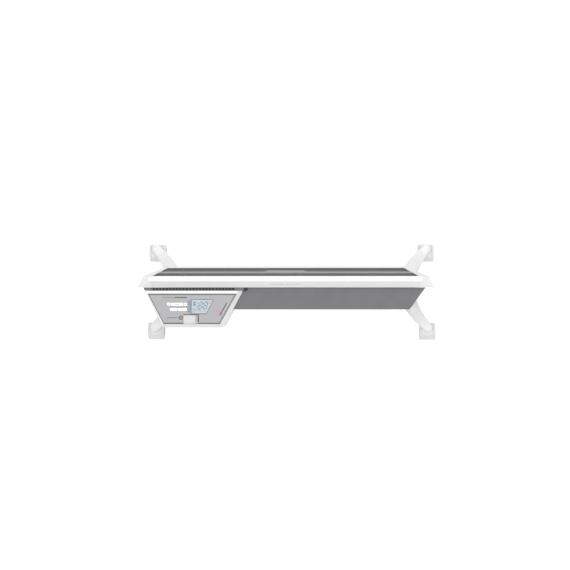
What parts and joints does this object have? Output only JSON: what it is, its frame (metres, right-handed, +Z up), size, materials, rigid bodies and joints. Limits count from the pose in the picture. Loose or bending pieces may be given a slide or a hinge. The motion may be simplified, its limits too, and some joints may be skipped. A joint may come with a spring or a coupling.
{
  "type": "electric panel convector heater",
  "caption": "Slim electric panel convector heater with a sloping top outlet, a control unit hooked over the rear edge, arched legs and swivel casters.",
  "frame": {"origin": "on the floor under the middle of the whole heater's footprint, casters included", "axes": "+X along the panel towards the control unit, +Y towards the rear, +Z up"},
  "size_m": [0.876, 0.2902, 0.48],
  "materials": {
    "white_enamel": "smooth white powder coat, faint orange peel",
    "white_cap_plastic": "satin moulded plastic",
    "white_leg_plastic": "satin moulded plastic",
    "white_hood_plastic": "satin moulded plastic",
    "wheel_plastic": "lightly scuffed hard plastic",
    "white_unit_plastic": "fine-grained moulded plastic",
    "key_plastic": "glossy white",
    "divider_plastic": "satin grey",
    "silver_panel": "satin silver-grey film",
    "dark_grey_plastic": "fine-grained dark grey",
    "grey_painted_steel": "satin mid-grey coat",
    "dark_mesh": "dark grey coat on perforated sheet",
    "galvanised_steel": "dull zinc spangle",
    "aluminium": "extruded",
    "bright_steel": "zinc-plated",
    "black_rubber": "matt",
    "white_inner_plastic": "matt",
    "ceramic": "unglazed",
    "circuit_board": "green solder mask",
    "display_glass": "clear over a pale display",
    "light_diffuser": "blue translucent light guide"
  },
  "bodies": {
    "heater": {"front_casing": "white_enamel", "end_cap_left": "white_cap_plastic", "end_cap_right": "white_cap_plastic", "leg_left": "white_leg_plastic", "leg_right": "white_leg_plastic", "unit_case": "white_unit_plastic", "unit_frame": "white_unit_plastic", "grille_divider": "divider_plastic", "display_fascia": "silver_panel", "vent_grille": "dark_grey_plastic", "tilt_switch": "dark_grey_plastic", "body_socket": "dark_grey_plastic", "module_socket": "dark_grey_plastic", "rear_housing": "grey_painted_steel", "outlet_mesh": "dark_mesh", "base_plate": "galvanised_steel", "element_bracket_left": "galvanised_steel", "element_bracket_right": "galvanised_steel", "air_guide": "galvanised_steel", "heating_element": "aluminium", "power_module": "aluminium", "leg_screw_left_front": "bright_steel", "leg_screw_left_rear": "bright_steel", "leg_screw_right_front": "bright_steel", "leg_screw_right_rear": "bright_steel", "housing_screw_lower_left": "bright_steel", "housing_screw_lower_right": "bright_steel", "housing_screw_upper_left": "bright_steel", "housing_screw_upper_right": "bright_steel", "unit_lock_screw": "bright_steel", "thermal_cutout": "bright_steel", "display_module": "bright_steel", "wiring_loom": "black_rubber", "cable_gland": "black_rubber", "key_mat": "black_rubber", "room_sensor": "white_inner_plastic", "unit_plug": "white_inner_plastic", "element_terminal_left": "ceramic", "element_terminal_right": "ceramic", "circuit_board": "circuit_board", "display_window": "display_glass", "light_bar": "light_diffuser"},
    "caster_front_left": {"caster_hood_front_left": "white_hood_plastic", "caster_stem_front_left": "bright_steel"},
    "caster_front_right": {"caster_hood_front_right": "white_hood_plastic", "caster_stem_front_right": "bright_steel"},
    "caster_rear_left": {"caster_hood_rear_left": "white_hood_plastic", "caster_stem_rear_left": "bright_steel"},
    "caster_rear_right": {"caster_hood_rear_right": "white_hood_plastic", "caster_stem_rear_right": "bright_steel"},
    "wheels_front_left": {"caster_wheels_front_left": "wheel_plastic"},
    "wheels_front_right": {"caster_wheels_front_right": "wheel_plastic"},
    "wheels_rear_left": {"caster_wheels_rear_left": "wheel_plastic"},
    "wheels_rear_right": {"caster_wheels_rear_right": "wheel_plastic"},
    "key_timer": {"key_timer": "key_plastic"},
    "key_mode": {"key_mode": "key_plastic"},
    "key_lock": {"key_lock": "key_plastic"},
    "key_warmer": {"key_warmer": "key_plastic"},
    "key_cooler": {"key_cooler": "key_plastic"},
    "wireless_module": {"wireless_module": "white_unit_plastic"}
  },
  "joints": [
    {"name": "swivel_front_left", "type": "hinge", "parent": "heater", "child": "caster_front_left", "pos_m": [-0.408, -0.1314, 0.047], "axis": [0, 0, 1], "continuous": true},
    {"name": "swivel_front_right", "type": "hinge", "parent": "heater", "child": "caster_front_right", "pos_m": [0.408, -0.1314, 0.047], "axis": [0, 0, 1], "continuous": true},
    {"name": "swivel_rear_left", "type": "hinge", "parent": "heater", "child": "caster_rear_left", "pos_m": [-0.413, 0.1066, 0.047], "axis": [0, 0, 1], "continuous": true},
    {"name": "swivel_rear_right", "type": "hinge", "parent": "heater", "child": "caster_rear_right", "pos_m": [0.413, 0.1066, 0.047], "axis": [0, 0, 1], "continuous": true},
    {"name": "roll_front_left", "type": "hinge", "parent": "caster_front_left", "child": "wheels_front_left", "pos_m": [-0.408, -0.1184, 0.0205], "axis": [1, 0, 0], "continuous": true},
    {"name": "roll_front_right", "type": "hinge", "parent": "caster_front_right", "child": "wheels_front_right", "pos_m": [0.408, -0.1184, 0.0205], "axis": [1, 0, 0], "continuous": true},
    {"name": "roll_rear_left", "type": "hinge", "parent": "caster_rear_left", "child": "wheels_rear_left", "pos_m": [-0.413, 0.1196, 0.0205], "axis": [1, 0, 0], "continuous": true},
    {"name": "roll_rear_right", "type": "hinge", "parent": "caster_rear_right", "child": "wheels_rear_right", "pos_m": [0.413, 0.1196, 0.0205], "axis": [1, 0, 0], "continuous": true},
    {"name": "press_timer", "type": "slide", "parent": "heater", "child": "key_timer", "axis": [0, 0, -1], "range_m": [0, 0.0008], "stiffness_N_per_m": 1200},
    {"name": "press_mode", "type": "slide", "parent": "heater", "child": "key_mode", "axis": [0, 0, -1], "range_m": [0, 0.0008], "stiffness_N_per_m": 1200},
    {"name": "press_lock", "type": "slide", "parent": "heater", "child": "key_lock", "axis": [0, 0, -1], "range_m": [0, 0.0008], "stiffness_N_per_m": 1200},
    {"name": "press_warmer", "type": "slide", "parent": "heater", "child": "key_warmer", "axis": [0, 0, -1], "range_m": [0, 0.0008], "stiffness_N_per_m": 1200},
    {"name": "press_cooler", "type": "slide", "parent": "heater", "child": "key_cooler", "axis": [0, 0, -1], "range_m": [0, 0.0008], "stiffness_N_per_m": 1200},
    {"name": "module_pull", "type": "slide", "parent": "heater", "child": "wireless_module", "axis": [0, 0, 1], "range_m": [0, 0.024]}
  ]
}
